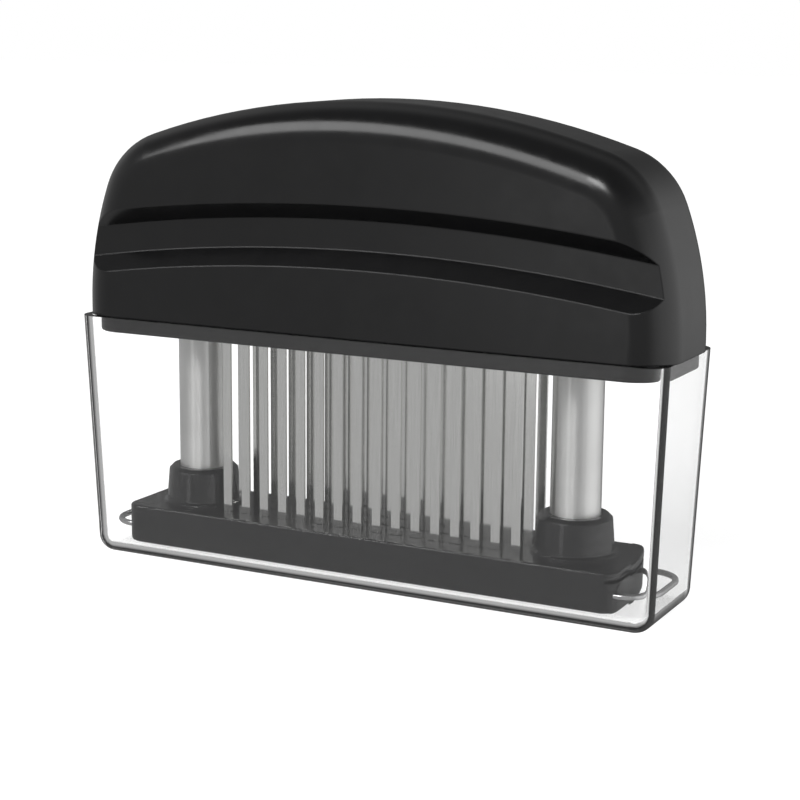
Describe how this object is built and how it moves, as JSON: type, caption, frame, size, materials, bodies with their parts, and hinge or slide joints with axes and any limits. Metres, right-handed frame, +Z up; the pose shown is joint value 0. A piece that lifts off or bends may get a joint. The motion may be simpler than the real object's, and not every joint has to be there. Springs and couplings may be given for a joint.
{
  "type": "blade meat tenderizer",
  "caption": "Push-down blade meat tenderizer: black handle with rows of steel blades, spring-loaded foot plate on two columns, standing in its clear cover.",
  "frame": {"origin": "middle of the clear cover's underside, on the surface that it stands on", "axes": "+Z up, +X to the right along the handle's length, front face towards -Y"},
  "size_m": [0.151, 0.035, 0.1128],
  "materials": {
    "clear_plastic": "clear moulded plastic, glossy",
    "handle_plastic": "satin black moulded plastic",
    "base_plastic": "glossy black moulded plastic",
    "holder_plastic": "plain dark moulded plastic",
    "blade_steel": "thin stainless strip, fine satin grain along its length",
    "column_steel": "polished stainless tube",
    "spring_steel": "bright spring steel",
    "wire_steel": "bright drawn stainless wire",
    "screw_steel": "plated screw steel"
  },
  "bodies": {
    "cover": {"clear_cover": "clear_plastic"},
    "handle": {"handle_shell": "handle_plastic", "bottom_plate": "base_plastic", "blade_holder_front": "holder_plastic", "blade_holder_middle": "holder_plastic", "blade_holder_rear": "holder_plastic", "blades_front": "blade_steel", "blades_middle": "blade_steel", "blades_rear": "blade_steel", "spring_post_left": "holder_plastic", "spring_post_right": "holder_plastic", "spring_left": "spring_steel", "spring_right": "spring_steel", "plate_screws": "screw_steel"},
    "foot": {"foot_plate": "base_plastic", "column_left": "column_steel", "column_plug_left": "holder_plastic", "retaining_ring_left": "spring_steel", "wire_clip_left": "wire_steel", "column_right": "column_steel", "column_plug_right": "holder_plastic", "retaining_ring_right": "spring_steel", "wire_clip_right": "wire_steel"}
  },
  "joints": [
    {"name": "cover_lift", "type": "slide", "parent": "cover", "child": "handle", "axis": [0, 0, 1], "range_m": [0, 0.08]},
    {"name": "foot_slide", "type": "slide", "parent": "handle", "child": "foot", "axis": [0, 0, 1], "range_m": [0, 0.03], "stiffness_N_per_m": 500, "springref_m": -0.02, "deforming": ["spring_left", "spring_right"]}
  ]
}
